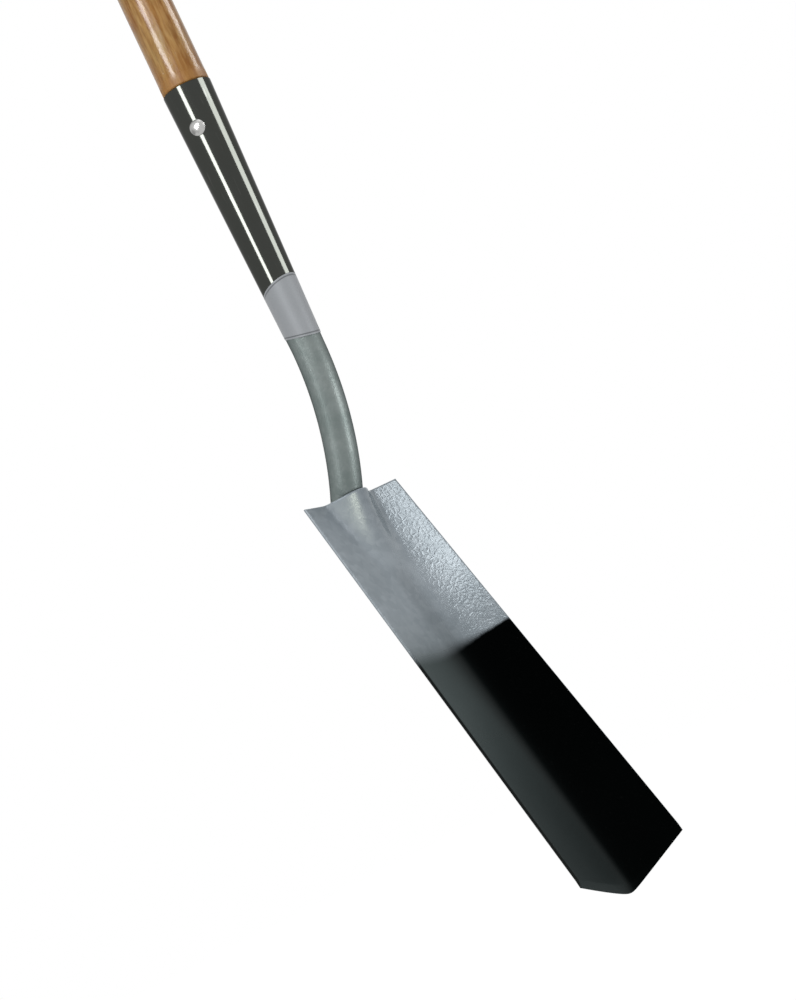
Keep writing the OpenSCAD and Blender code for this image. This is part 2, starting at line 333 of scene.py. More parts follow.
class Wiring:
    """Adds nodes to a node tree and joins them."""

    def __init__(self, tree: bpy.types.NodeTree) -> None:
        """Keeps the tree that nodes are added to."""
        self.tree = tree

    def feed(self, socket: Socket, value: object) -> None:
        """Links an output to a socket, or sets the socket's own value.

        Args:
            socket: Input to fill.
            value: An output socket, a number or a colour.
        """
        if isinstance(value, bpy.types.NodeSocket):
            self.tree.links.new(value, socket)
        elif socket.type == "RGBA" and len(value) == 3:
            socket.default_value = (*value, 1.0)
        else:
            socket.default_value = value

    def fill(self, node: bpy.types.Node, **inputs: object) -> bpy.types.Node:
        """Feeds a node's inputs by name.

        Args:
            node: The node.
            **inputs: Socket names, with underscores for spaces, and their values.

        Returns:
            The same node.
        """
        for key, value in inputs.items():
            self.feed(node.inputs[key.replace("_", " ")], value)
        return node

    def add(self, kind: str, settings: dict | None = None, **inputs: object) -> bpy.types.Node:
        """Adds a node with its settings and inputs.

        Args:
            kind: Node type.
            settings: Node properties.
            **inputs: Socket names, with underscores for spaces, and their values.

        Returns:
            The new node.
        """
        node = self.tree.nodes.new(kind)
        for key, value in (settings or {}).items():
            setattr(node, key, value)
        return self.fill(node, **inputs)

    def wired(
        self, kind: str, settings: dict, numbers: Sequence[int], values: Sequence[object]
    ) -> Outputs:
        """Adds a node and feeds its inputs by number.

        Args:
            kind: Node type.
            settings: Node properties.
            numbers: Numbers of the inputs.
            values: Their values, in the same order.

        Returns:
            The new node's outputs.
        """
        node = self.add(kind, settings)
        for number, value in zip(numbers, values):
            self.feed(node.inputs[number], value)
        return node.outputs

    def math(self, operation: str, *values: object) -> Socket:
        """Returns the result of a Math node on up to three values."""
        return self.wired("ShaderNodeMath", {"operation": operation}, range(3), values)[0]

    def times(self, a: object, b: object) -> Socket:
        """Returns the product of two numbers."""
        return self.math("MULTIPLY", a, b)

    def gain(self, value: object, factor: object, base: object) -> Socket:
        """Returns a value times a factor, plus a base."""
        return self.math("MULTIPLY_ADD", value, factor, base)

    def less(self, a: object, b: object) -> Socket:
        """Returns a number less another."""
        return self.math("SUBTRACT", a, b)

    def vector(self, operation: str, a: object, b: object) -> Socket:
        """Returns the vector result of a Vector Math node."""
        numbers = (0, 3) if operation == "SCALE" else (0, 1)
        return self.wired("ShaderNodeVectorMath", {"operation": operation}, numbers, (a, b))[0]

    def length(self, vector: Socket) -> Socket:
        """Returns the length of a vector."""
        return self.wired("ShaderNodeVectorMath", {"operation": "LENGTH"}, [0], [vector])["Value"]

    def mix(self, factor: object, a: object, b: object) -> Socket:
        """Returns a colour between a and b."""
        return self.wired("ShaderNodeMix", {"data_type": "RGBA"}, (0, 6, 7), (factor, a, b))[2]

    def blend(self, factor: object, a: object, b: object) -> Socket:
        """Returns a number between a and b."""
        return self.wired("ShaderNodeMix", {"data_type": "FLOAT"}, (0, 2, 3), (factor, a, b))[0]

    def remap(self, value: object, span: Span, to: Span = (0.0, 1.0)) -> Socket:
        """Returns a value carried smoothly from one range to another, held at its ends."""
        smooth = {"interpolation_type": "SMOOTHSTEP"}
        return self.wired("ShaderNodeMapRange", smooth, range(5), (value, *span, *to))[0]

    def noise(
        self, vector: Socket, scale: object, detail: float = 3.0, rough: float = 0.5
    ) -> bpy.types.Node:
        """Adds a Noise texture."""
        return self.add(
            "ShaderNodeTexNoise", Vector=vector, Scale=scale, Detail=detail, Roughness=rough
        )

    def haze(self, *settings: object) -> Socket:
        """Returns the value of a Noise texture with these settings."""
        return self.noise(*settings).outputs["Fac"]

    def swing(self, vector: Socket, scale: object, detail: float, reach: object) -> Socket:
        """Returns a vector that a noise swings about nothing, by half the reach either way."""
        colour = self.noise(vector, scale, detail).outputs["Color"]
        return self.vector("SCALE", self.vector("SUBTRACT", colour, (0.5, 0.5, 0.5)), reach)

    def stretch(self, vector: Socket, scale: Point) -> Socket:
        """Returns the vector with each axis scaled."""
        return self.add("ShaderNodeMapping", Vector=vector, Scale=scale).outputs[0]

    def axis(self, vector: Socket, name: str) -> Socket:
        """Returns one of the vector's numbers."""
        return self.add("ShaderNodeSeparateXYZ", Vector=vector).outputs[name]

    def mark(self, name: str) -> Socket:
        """Returns the number of a point attribute of the piece."""
        return self.add("ShaderNodeAttribute", {"attribute_name": name}).outputs["Fac"]

    def bump(self, height: Socket, strength: float, distance: float) -> Socket:
        """Returns a normal raised by a height in metres."""
        node = self.add("ShaderNodeBump", Height=height, Strength=strength, Distance=distance)
        return node.outputs[0]

    def group(self, effect: "SharedEffect", **inputs: object) -> Outputs:
        """Adds a shared effect with its own values and returns its outputs."""
        return self.add("ShaderNodeGroup", {"node_tree": effect.tree}, **inputs).outputs


def blank(owner: bpy.types.Material | bpy.types.World) -> Wiring:
    """Empties the node tree of a material or a world.

    Args:
        owner: The material or the world.

    Returns:
        Its wiring.
    """
    owner.use_nodes = True
    owner.node_tree.nodes.clear()
    return Wiring(owner.node_tree)


class SharedEffect:
    """A shader node group that several finishes use."""

    name: str = ""
    inputs: tuple[tuple[str, str], ...] = ()
    outputs: tuple[str, ...] = ()

    def __init__(self) -> None:
        """Builds the group's sockets and its wiring once."""
        self.tree = bpy.data.node_groups.new(self.name, "ShaderNodeTree")
        for label, kind in self.inputs:
            self.tree.interface.new_socket(label, in_out="INPUT", socket_type=kind)
        for label in self.outputs:
            self.tree.interface.new_socket(label, in_out="OUTPUT", socket_type="NodeSocketFloat")
        w = Wiring(self.tree)
        source = w.add("NodeGroupInput").outputs
        w.fill(w.add("NodeGroupOutput"), **self.wire(w, source))

    def wire(self, w: Wiring, source: Outputs) -> dict[str, Socket]:
        """Returns the group's outputs by name; each effect has its own."""
        raise NotImplementedError


class HammeredRelief(SharedEffect):
    """Hammer-finish paint: flat-topped cells between shallow grooves, flecks and slow clouds."""

    name = "hammered_relief"
    inputs = (("Vector", "NodeSocketVector"), ("Cells", "NodeSocketFloat"))
    outputs = ("Height", "Fleck", "Cloud")
    warp = 0.7
    softness = 0.55
    groove_w = (0.0, 0.28)
    flat_h = (0.0, 0.8)
    crown = 0.5
    cloud_size = 0.13

    def wire(self, w: Wiring, source: Outputs) -> dict[str, Socket]:
        """Cells of a Voronoi on coordinates that a noise has pushed about.

        Args:
            w: Wiring of the group.
            source: The group's inputs.

        Returns:
            The group's outputs by name.
        """
        vector, cells = source["Vector"], source["Cells"]
        push = w.swing(vector, cells, 1.0, w.math("DIVIDE", self.warp, cells))
        spot = {"Vector": w.vector("ADD", vector, push), "Scale": cells}
        cell = w.add(
            "ShaderNodeTexVoronoi", {"feature": "SMOOTH_F1"}, Smoothness=self.softness, **spot
        ).outputs
        groove = w.add("ShaderNodeTexVoronoi", {"feature": "DISTANCE_TO_EDGE"}, **spot).outputs
        flat = w.remap(groove["Distance"], self.groove_w, self.flat_h)
        return {
            "Height": w.gain(cell["Distance"], self.crown, flat),
            "Fleck": w.add("ShaderNodeSeparateColor", Color=cell["Color"]).outputs[0],
            "Cloud": w.haze(vector, w.times(cells, self.cloud_size)),
        }


class HandlingMarks(SharedEffect):
    """Marks of handling: slow smears, hairline scratches along Z and fine dust."""

    name = "handling_marks"
    inputs = (("Vector", "NodeSocketVector"), ("Scale", "NodeSocketFloat"))
    outputs = ("Smear", "Scratch", "Dust")
    drawn = (1.0, 1.0, 0.06)
    hair_size, hair_cut = 26.0, (0.66, 0.74)
    dust_size, dust_cut = 60.0, (0.68, 0.8)

    def wire(self, w: Wiring, source: Outputs) -> dict[str, Socket]:
        """Noises of three sizes, the middle one drawn out along Z and cut to thin lines.

        Args:
            w: Wiring of the group.
            source: The group's inputs.

        Returns:
            The group's outputs by name.
        """
        vector, scale = source["Vector"], source["Scale"]
        hairs = w.haze(w.stretch(vector, self.drawn), w.times(scale, self.hair_size), 2.0)
        specks = w.haze(vector, w.times(scale, self.dust_size), 1.0)
        return {
            "Smear": w.haze(vector, scale, 4.0, 0.6),
            "Scratch": w.remap(hairs, self.hair_cut),
            "Dust": w.remap(specks, self.dust_cut),
        }


@dataclass
class Effects:
    """The shared effects, built once."""

    hammer: HammeredRelief = field(default_factory=HammeredRelief)
    marks: HandlingMarks = field(default_factory=HandlingMarks)


# Finishes


@dataclass(frozen=True)
class Streaks:
    """A noise drawn out along the grain, and the range that cuts it to a mask."""

    across: float
    along: float
    detail: float = 2.0
    rough: float = 0.5
    cut: Span = (0.0, 1.0)

    def value(self, w: Wiring, at: Socket) -> Socket:
        """Returns the noise itself."""
        drawn = w.stretch(at, (self.across, self.across, self.along))
        return w.haze(drawn, 1.0, self.detail, self.rough)

    def mask(self, w: Wiring, at: Socket) -> Socket:
        """Returns the noise cut to a mask."""
        return w.remap(self.value(w, at), self.cut)


@dataclass(frozen=True)
class Finish:
    """A finish whose material is one Principled shader on the piece's Object coordinates."""

    name: str
    specular: float = 0.5

    def material(self, effects: Effects) -> bpy.types.Material:
        """Makes the material.

        Args:
            effects: The shared effects.

        Returns:
            The new material.
        """
        material = bpy.data.materials.new(self.name)
        w = blank(material)
        shader = w.add("ShaderNodeBsdfPrincipled", Specular_IOR_Level=self.specular)
        w.add("ShaderNodeOutputMaterial", Surface=shader.outputs[0])
        at = w.add("ShaderNodeTexCoord").outputs["Object"]
        w.fill(shader, **self.dress(w, at, effects))
        return material

    def dress(self, w: Wiring, at: Socket, effects: Effects) -> dict[str, object]:
        """Returns the shader's inputs by name; each finish has its own."""
        raise NotImplementedError


@dataclass(frozen=True)
class HammeredPaint(Finish):
    """Hammer-finish paint of one tone, on the socket, the neck and the welds."""

    tone: Colour = (0.160, 0.192, 0.186)
    pale: Colour = (0.236, 0.266, 0.260)
    dust: Colour = (0.5, 0.5, 0.48)
    # Dark edge tint with a high metallic value: painted shade that keeps the rims dark instead of
    # reflecting the white surroundings.
    edge: Colour = (0.04, 0.04, 0.04)
    cells: float = 320.0
    relief: float = 0.00013
    press: float = 0.5
    rough: float = 0.34
    metal: float = 0.70
    cloudy: float = 0.85
    mottle: Span = (0.2, 0.85)
    marks: float = 18.0
    dusty: float = 0.12
    smeared: float = 0.16

    def dress(self, w: Wiring, at: Socket, effects: Effects) -> dict[str, object]:
        """Flecks and clouds vary the tone, smears the gloss, and the cells are the relief.

        Args:
            w: Wiring of the material.
            at: Object coordinates.
            effects: The shared effects.

        Returns:
            The shader's inputs by name.
        """
        hammer = w.group(effects.hammer, Vector=at, Cells=self.cells)
        marks = w.group(effects.marks, Vector=at, Scale=self.marks)
        vary = w.remap(w.blend(self.cloudy, hammer["Fleck"], hammer["Cloud"]), self.mottle)
        coat = w.mix(vary, self.tone, self.pale)
        return {
            "Base_Color": w.mix(w.times(marks["Dust"], self.dusty), coat, self.dust),
            "Roughness": w.gain(marks["Smear"], self.smeared, self.rough),
            "Metallic": self.metal,
            # Painted shade: the dark edge tint darkens the rims.
            "Specular_Tint": self.edge,
            "Normal": w.bump(hammer["Height"], self.press, self.relief),
        }


@dataclass(frozen=True)
class DippedBladePaint(Finish):
    """Hammer-finish grey above and gloss black below a sprayed line across the blade.

    Distances along the blade are in millimetres, and X across it is in metres.
    """

    tone: Colour = (0.236, 0.271, 0.302)
    pale: Colour = (0.334, 0.373, 0.408)
    mist: Colour = (0.075, 0.098, 0.108)
    bare: Colour = (0.5, 0.52, 0.54)
    black: Colour = (0.0004, 0.0006, 0.0006)
    dust: Colour = (0.3, 0.3, 0.3)
    sheen: Colour = (0.88, 1.0, 1.0)
    cells: float = 205.0
    relief: float = 0.00007
    press: float = 0.6
    filled: float = 0.05
    cloudy: float = 0.75
    mottle: Span = (0.2, 0.8)
    marks: float = 14.0
    dusty: float = 0.012
    spray: tuple[float, float, float] = (45.0, 5.0, 0.65)
    line: float = 148.0
    wander: float = 4.0
    soft_x: Span = (-0.03, 0.045)
    soft_l: Span = (11.0, 1.8)
    mist_l: Span = (-50.0, 0.0)
    misty: Span = (0.0, 0.46)
    mist_x: Span = (0.0, 0.035)
    mist_side: Span = (1.0, 0.45)
    # Painted shade along the fold: across the middle of the blade, in the lowest 65 to 90 mm of
    # grey above the sprayed line, the coat is darkened towards black.
    fold_shade_x: Span = (0.002, 0.015)
    fold_shade_depth: Span = (0.21, 0.0)
    fold_shade_l: Span = (-90.0, -65.0)
    rim_w: Span = (0.9, 0.2)
    patchy: Span = (0.42, 0.6)
    worn: float = 0.12
    dull_x: Span = (-0.004, 0.014)
    dull: Span = (0.34, 0.12)
    dull_smeared: float = 0.08
    gloss_l: Span = (118.0, 360.0)
    gloss: Span = (0.10, 0.38)
    gloss_smeared: float = 0.10
    # Painted shade and sheen by side: the black's right wall is fully metallic, so it reflects
    # nothing and stays black, while its left wall and the rear are less metallic and keep a sheen.
    wall_x: Span = (-0.004, 0.004)
    wall_metal: Span = (0.80, 1.0)
    rear_metal: float = 0.35
    grey_metal: float = 0.18

    def grey(self, w: Wiring, hammer: Outputs, x: Socket, past: Socket, spray: Socket) -> Socket:
        """Grey coat with flecks and clouds, mist near the line, painted shade that darkens the fold
        towards black, and worn rims.

        Args:
            w: Wiring of the material.
            hammer: Outputs of the hammered relief.
            x: X across the blade.
            past: Distance past the sprayed line.
            spray: Noise of the spray.

        Returns:
            The colour.
        """
        vary = w.blend(self.cloudy, hammer["Fleck"], hammer["Cloud"])
        coat = w.mix(w.remap(vary, self.mottle), self.tone, self.pale)
        drift = w.remap(past, self.mist_l, self.misty)
        coat = w.mix(w.times(drift, w.remap(x, self.mist_x, self.mist_side)), coat, self.mist)
        # Painted shade: the grey is darkened towards black along the fold, close above the sprayed
        # line.
        fold_shade = w.remap(w.math("ABSOLUTE", x), self.fold_shade_x, self.fold_shade_depth)
        coat = w.mix(w.times(fold_shade, w.remap(past, self.fold_shade_l)), coat, self.black)
        rim = w.times(w.remap(w.mark("rim"), self.rim_w), w.remap(spray, self.patchy))
        return w.mix(w.times(rim, self.worn), coat, self.bare)

    def dress(self, w: Wiring, at: Socket, effects: Effects) -> dict[str, object]:
        """Both paints, and a fade from one to the other by the distance along the blade.

        Args:
            w: Wiring of the material.
            at: Object coordinates.
            effects: The shared effects.

        Returns:
            The shader's inputs by name.
        """
        hammer = w.group(effects.hammer, Vector=at, Cells=self.cells)
        marks = w.group(effects.marks, Vector=at, Scale=self.marks)
        spray, x, along = w.haze(at, *self.spray), w.axis(at, "X"), w.mark("along")
        past = w.gain(w.less(spray, 0.5), self.wander, w.less(along, self.line))
        soft = w.remap(x, self.soft_x, self.soft_l)
        low = w.remap(w.math("DIVIDE", past, soft), (-1.0, 1.0))
        black = w.mix(w.times(marks["Dust"], self.dusty), self.black, self.dust)
        dull = w.gain(marks["Smear"], self.dull_smeared, w.remap(x, self.dull_x, self.dull))
        shine = w.remap(along, self.gloss_l, self.gloss)
        gloss = w.gain(marks["Smear"], self.gloss_smeared, shine)
        # Painted shade: a fully metallic right wall stays black, while a less metallic left wall
        # and rear keep a sheen.
        walls = w.remap(x, self.wall_x, self.wall_metal)
        metal = w.blend(w.mark("rear"), walls, self.rear_metal)
        height = w.times(hammer["Height"], w.blend(low, 1.0, self.filled))
        return {
            "Base_Color": w.mix(low, self.grey(w, hammer, x, past, spray), black),
            "Roughness": w.blend(low, dull, gloss),
            "Metallic": w.blend(low, self.grey_metal, metal),
            "Specular_Tint": self.sheen,
            "Normal": w.bump(height, self.press, self.relief),
        }


@dataclass(frozen=True)
class LacqueredAsh(Finish):
    """Clear lacquer over ash: growth rings, drawn-out pores and a deeper tone at the socket."""

    pale: Colour = (0.520, 0.310, 0.105)
    deep: Colour = (0.245, 0.096, 0.014)
    pore: Colour = (0.130, 0.056, 0.012)
    warm: Colour = (0.410, 0.170, 0.038)
    straw: Colour = (0.450, 0.300, 0.105)
    pooled: Colour = (0.34, 0.135, 0.020)
    heart: Point = (0.046, -0.018, 0.0)
    lengthwise: Point = (1.0, 1.0, 0.05)
    slow: Point = (6.0, 6.0, 2.2)
    slow_reach: float = 0.022
    quick: Point = (70.0, 70.0, 16.0)
    quick_reach: float = 0.009
    ring: float = 0.0085
    late_start: Span = (0.25, 0.85)
    late_end: Span = (1.0, 0.85)
    early: Span = (0.4, 0.1)
    fibres: Streaks = Streaks(900.0, 26.0, 4.0, 0.6)
    flecks: Streaks = Streaks(380.0, 60.0, 4.0, 0.65, (0.36, 0.64))
    pores: Streaks = Streaks(1500.0, 40.0, cut=(0.6, 0.72))
    warm_parts: Streaks = Streaks(55.0, 18.0, 3.0, cut=(0.38, 0.66))
    straw_parts: Streaks = Streaks(90.0, 30.0, cut=(0.5, 0.72))
    waves: Streaks = Streaks(120.0, 30.0)
    late_share: float = 0.45
    fleck_share: float = 0.55
    fibre_share: float = 0.20
    warm_share: float = 0.35
    straw_share: float = 0.45
    pooled_share: float = 0.45
    pore_share: float = 0.6
    pooled_z: Span = (-0.116, -0.150)
    worn_z: Span = (-0.138, -0.146)
    worn: Span = (0.10, 0.45)
    fibre_rough: float = 0.16
    wave_h: float = 0.8
    pore_h: float = -0.25
    press: float = 0.5
    relief: float = 0.0012

    def rings(self, w: Wiring, at: Socket) -> Socket:
        """Share of each growth ring: the distance from a heart beside the shaft over the ring.

        Args:
            w: Wiring of the material.
            at: Object coordinates, which a slow and a quick noise bend.

        Returns:
            A number from 0 to 1 across each ring.
        """
        bent = w.vector("ADD", at, w.swing(w.stretch(at, self.slow), 1.0, 2.0, self.slow_reach))
        quick = w.swing(w.stretch(at, self.quick), 1.0, 2.0, self.quick_reach)
        heart = w.vector("ADD", w.vector("ADD", bent, quick), self.heart)
        radius = w.length(w.vector("MULTIPLY", heart, self.lengthwise))
        return w.math("FRACT", w.math("DIVIDE", radius, self.ring))

    def dress(self, w: Wiring, at: Socket, effects: Effects) -> dict[str, object]:
        """Late wood and flecks deepen the tone, then warm, straw and pooled parts and the pores.

        Args:
            w: Wiring of the material.
            at: Object coordinates.
            effects: The shared effects.

        Returns:
            The shader's inputs by name.
        """
        turn, z = self.rings(w, at), w.axis(at, "Z")
        fibre, fleck = self.fibres.value(w, at), self.flecks.mask(w, at)
        late = w.times(w.remap(turn, self.late_start), w.remap(turn, self.late_end))
        pores = w.times(self.pores.mask(w, at), w.remap(turn, self.early))
        grain = w.gain(fleck, self.fleck_share, w.times(fibre, self.fibre_share))
        tone = w.mix(w.gain(late, self.late_share, grain), self.pale, self.deep)
        layers = (
            (self.warm_parts.mask(w, at), self.warm_share, self.warm),
            (self.straw_parts.mask(w, at), self.straw_share, self.straw),
            (w.remap(z, self.pooled_z), self.pooled_share, self.pooled),
            (pores, self.pore_share, self.pore),
        )
        for mask, share, colour in layers:
            tone = w.mix(w.times(mask, share), tone, colour)
        skin = w.gain(self.waves.value(w, at), self.wave_h, w.times(pores, self.pore_h))
        return {
            "Base_Color": tone,
            "Roughness": w.gain(fibre, self.fibre_rough, w.remap(z, self.worn_z, self.worn)),
            "Normal": w.bump(skin, self.press, self.relief),
        }


@dataclass(frozen=True)
class GlossFilm(Finish):
    """Glossy wrapped film of one tone, with a fine grain and, if it has one, a thin border."""

    tone: Colour = (0.040, 0.043, 0.039)
    pale: Colour = (0.056, 0.058, 0.053)
    border: Colour = (0.03, 0.03, 0.03)
    scuff: Colour = (0.35, 0.35, 0.34)
    # Edge tint below white: painted shade that dims the rims' reflection of the white surroundings;
    # a film that sets it to white has none.
    edge: Colour = (0.6, 0.6, 0.6)
    rough: float = 0.07
    metal: float = 1.0
    border_at: float = -1.0
    border_w: Span = (0.75, 0.35)
    marks: float = 22.0
    grains: float = 900.0
    varied: float = 0.9
    scuffed: float = 0.06
    smeared: float = 0.07
    waves: Streaks = Streaks(60.0, 24.0)
    grain_h: float = 0.05
    press: float = 0.25
    relief: float = 0.0003

    def dress(self, w: Wiring, at: Socket, effects: Effects) -> dict[str, object]:
        """Smears vary the tone and the gloss, and the border follows the edge attribute.

        Args:
            w: Wiring of the material.
            at: Object coordinates.
            effects: The shared effects.

        Returns:
            The shader's inputs by name.
        """
        marks = w.group(effects.marks, Vector=at, Scale=self.marks)
        grain = w.haze(at, self.grains, 2.0)
        vary = w.times(w.blend(0.5, marks["Smear"], grain), self.varied)
        tone = w.mix(vary, self.tone, self.pale)
        if self.border_at > 0:
            inset = w.math("ABSOLUTE", w.less(w.mark("edge"), self.border_at))
            tone = w.mix(w.remap(inset, self.border_w), tone, self.border)
        height = w.gain(grain, self.grain_h, self.waves.value(w, at))
        return {
            "Base_Color": w.mix(w.times(marks["Scratch"], self.scuffed), tone, self.scuff),
            "Roughness": w.gain(marks["Smear"], self.smeared, self.rough),
            "Metallic": self.metal,
            # Painted shade where the edge tint is below white: the rims' reflection is dimmed.
            "Specular_Tint": self.edge,
            "Normal": w.bump(height, self.press, self.relief),
        }


@dataclass(frozen=True)
class BrightSteel(Finish):
    """Bright headed steel with dull smears and small dents."""

    tone: Colour = (0.46, 0.46, 0.45)
    dull: Colour = (0.22, 0.22, 0.215)
    # Dark edge tint: painted shade, a dark ring round the dome where it would otherwise reflect the
    # white surroundings.
    edge: Colour = (0.2, 0.2, 0.2)
    marks: float = 120.0
    smear_cut: Span = (0.45, 0.75)
    rough: float = 0.1
    smeared: float = 0.25
    dents: float = 500.0
    press: float = 0.25
    relief: float = 0.0002

    def dress(self, w: Wiring, at: Socket, effects: Effects) -> dict[str, object]:
        """Smears dull the steel, and a fine noise dents it.

        Args:
            w: Wiring of the material.
            at: Object coordinates.
            effects: The shared effects.

        Returns:
            The shader's inputs by name.
        """
        smear = w.group(effects.marks, Vector=at, Scale=self.marks)["Smear"]
        return {
            "Base_Color": w.mix(w.remap(smear, self.smear_cut), self.tone, self.dull),
            "Roughness": w.gain(smear, self.smeared, self.rough),
            "Metallic": 1.0,
            # Painted shade: the dark edge tint gives the dome a dark rim.
            "Specular_Tint": self.edge,
            "Normal": w.bump(w.haze(at, self.dents, 2.0), self.press, self.relief),
        }


# Sub-assemblies


@dataclass
class BladeAssembly:
    """The dished blade with its pressed hood and ground tip, and the welds behind it."""

    plan: SpadePlan
    effects: Effects
    top_w: float = 108.5
    tip_w: float = 130.5
    crease_top: float = 0.28
    crease_tip: float = 0.07
    hollow: float = 1.12
    hood_h: float = 21.8
    hood_w: float = 60.0
    hood_dip: float = 4.0
    hood_l: float = 90.0
    hood_fade: float = 1.8
    hood_narrow: float = 0.5
    hood_flat: float = 2.3
    hood_blend: float = 2.6
    edge_t: float = 0.8
    bevel_l: float = 6.0
    rim_shares: tuple[float, ...] = (0.0, 0.04, 0.15, 0.34, 0.6, 1.0)
    along_n: int = 176
    along_crowd: float = 1.25
    across_n: int = 66
    across_crowd: float = 1.12
    bevel_n: int = 9
    weld_r: float = 2.6
    weld_l: float = 34.0
    weld_n: int = 90
    weld_columns: int = 28
    cap_turn: Span = (0.12, 1.5)
    cap_n: int = 9
    ripple_l: float = 3.4
    ripple_h: float = 0.12
    ripple_lag: float = 0.5
    lag_power: int = 4
    paint: DippedBladePaint = DippedBladePaint("blade_paint")
    weld_paint: HammeredPaint = HammeredPaint(
        "weld_paint", tone=(0.17, 0.19, 0.19), cells=420.0, relief=0.0003
    )

    def crease(self, u: np.ndarray, s: np.ndarray | float) -> np.ndarray:
        """Rounded crease, sharper towards the tip: a hyperbola from 0 to 1 at the side edges."""
        c = self.crease_top + (self.crease_tip - self.crease_top) * s
        return (np.sqrt(u * u + c * c) - c) / (np.sqrt(1 + c * c) - c)

    def half_width(self, s: np.ndarray) -> np.ndarray:
        """Half width of the blade, widening evenly to the tip."""
        return (self.top_w + (self.tip_w - self.top_w) * s) / 2

    def arch(self, share: np.ndarray) -> np.ndarray:
        """Bell across the hood: one less the share to a power, itself to a power."""
        return (1 - np.clip(share, 0, 1) ** self.hood_flat) ** self.hood_blend

    def length_at(self, u: np.ndarray, s: np.ndarray) -> np.ndarray:
        """Distance along the blade: from the top edge, which dips at the hood, to the tip.

        Args:
            u: Share of the half width, -1 to 1.
            s: Share of the length, 0 to 1.

        Returns:
            The distance from the line through the top corners.
        """
        dip = self.hood_dip * self.arch(np.abs(u) * self.half_width(s) / (self.hood_w / 2))
        full = self.plan.blade_l + self.plan.tip_point * (1 - self.crease(u, 1.0))
        return dip + s * (full - dip)

    def face(self, u: np.ndarray, s: np.ndarray) -> np.ndarray:
        """Point of the dished face.

        The dish falls by its depth times one less the crease to a power. The hood adds its
        height, which fades to a power along its length, times the bell across.

        Args:
            u: Share of the half width, -1 to 1.
            s: Share of the length, 0 to 1.

        Returns:
            Points in the frame.
        """
        p = self.plan
        x = u * self.half_width(s)
        along = self.length_at(u, s)
        depth = p.dish_top + (p.dish_tip - p.dish_top) * s
        lift = -depth * (1 - self.crease(u, s) ** self.hollow)
        fade = np.clip(along / self.hood_l, 0, 1)
        foot = self.hood_w / 2 * (1 - self.hood_narrow * fade)
        lift = lift + self.hood_h * (1 - fade) ** self.hood_fade * self.arch(np.abs(x) / foot)
        sin, cos = math.sin(p.lean), math.cos(p.lean)
        y = p.heel_y - sin * along - cos * lift
        return np.stack([x, y, p.heel_z - cos * along + sin * lift], -1)

    def outward(self, u: np.ndarray, s: np.ndarray, step: float = 0.004) -> np.ndarray:
        """Unit vector out of the dished face, from the cross product of two short steps on it.

        Args:
            u: Share of the half width.
            s: Share of the length.
            step: Length of the steps, as a share.

        Returns:
            Unit vectors.
        """
        du = self.face(np.minimum(u + step, 1), s) - self.face(np.maximum(u - step, -1), s)
        ds = self.face(u, np.minimum(s + step, 1)) - self.face(u, np.maximum(s - step, 0))
        out = np.cross(ds, du)
        return out / np.linalg.norm(out, axis=-1, keepdims=True)

    def grid(self) -> tuple[np.ndarray, np.ndarray]:
        """Shares of the length and of the half width, closer together at the rims and the bevel.

        Returns:
            Both as stations by steps across.
        """
        p, shares = self.plan, np.array(self.rim_shares)
        rim = p.plate_t / 2 * shares
        end, half_edge = p.blade_l - self.bevel_l, self.edge_t / 2
        body = rim[-1] + (end - 2 * rim[-1]) * np.linspace(0, 1, self.along_n) ** self.along_crowd
        bevel = np.linspace(end, p.blade_l - half_edge, self.bevel_n)
        last = p.blade_l - half_edge * shares[-2::-1]
        s = np.concatenate([rim[:-1], body, bevel, last]) / p.blade_l
        inner = 1 - rim[::-1] / (self.top_w / 2)
        middle = inner[0] * np.linspace(0, 1, self.across_n)[1:-1] ** self.across_crowd
        half = np.concatenate([middle, inner])
        u = np.concatenate([-half[::-1], [0.0], half])
        return tuple(np.meshgrid(s, u, indexing="ij"))

    def blade(self) -> Surface:
        """Closed plate: a front and a back sheet half a thickness either side of a middle sheet.

        Near the outline the half thickness follows a quarter circle to nothing, so the rim is
        round and the two sheets share it. Near the tip the front is ground down to the edge's
        thickness over the bevel.

        Returns:
            The plate, with its distances along and from the rim and its rear as attributes.
        """
        p = self.plan
        s, u = self.grid()
        face, out, down = self.face(u, s), self.outward(u, s), s * p.blade_l
        ground = np.clip((down - (p.blade_l - self.bevel_l)) / self.bevel_l, 0, 1)
        thick = p.plate_t - (p.plate_t - self.edge_t) * ground
        side = (1 - np.abs(u)) * self.half_width(s)
        away = np.minimum.reduce([down, (1 - s) * p.blade_l, side])
        inside = np.clip(1 - away / (thick / 2), 0, 1)
        half_t = (thick / 2 * np.sqrt(1 - inside ** 2))[..., None] * out
        middle = face - (p.plate_t - thick / 2)[..., None] * out
        front, back = middle + half_t, middle - half_t
        index = np.arange(s.size).reshape(s.shape)
        rear = index.copy()
        within = rear[1:-1, 1:-1]
        within[:] = s.size + np.arange(within.size).reshape(within.shape)
        quads = np.concatenate([grid_faces(index), grid_faces(rear)[:, ::-1]])
        points = np.concatenate([front.reshape(-1, 3), back[1:-1, 1:-1].reshape(-1, 3)])
        marks = {
            "along": two_sheets(self.length_at(u, s)),
            "rim": two_sheets(away),
            "rear": np.repeat([0.0, 1.0], [s.size, within.size]),
        }
        return Surface(points, quads, marks=marks).outward()

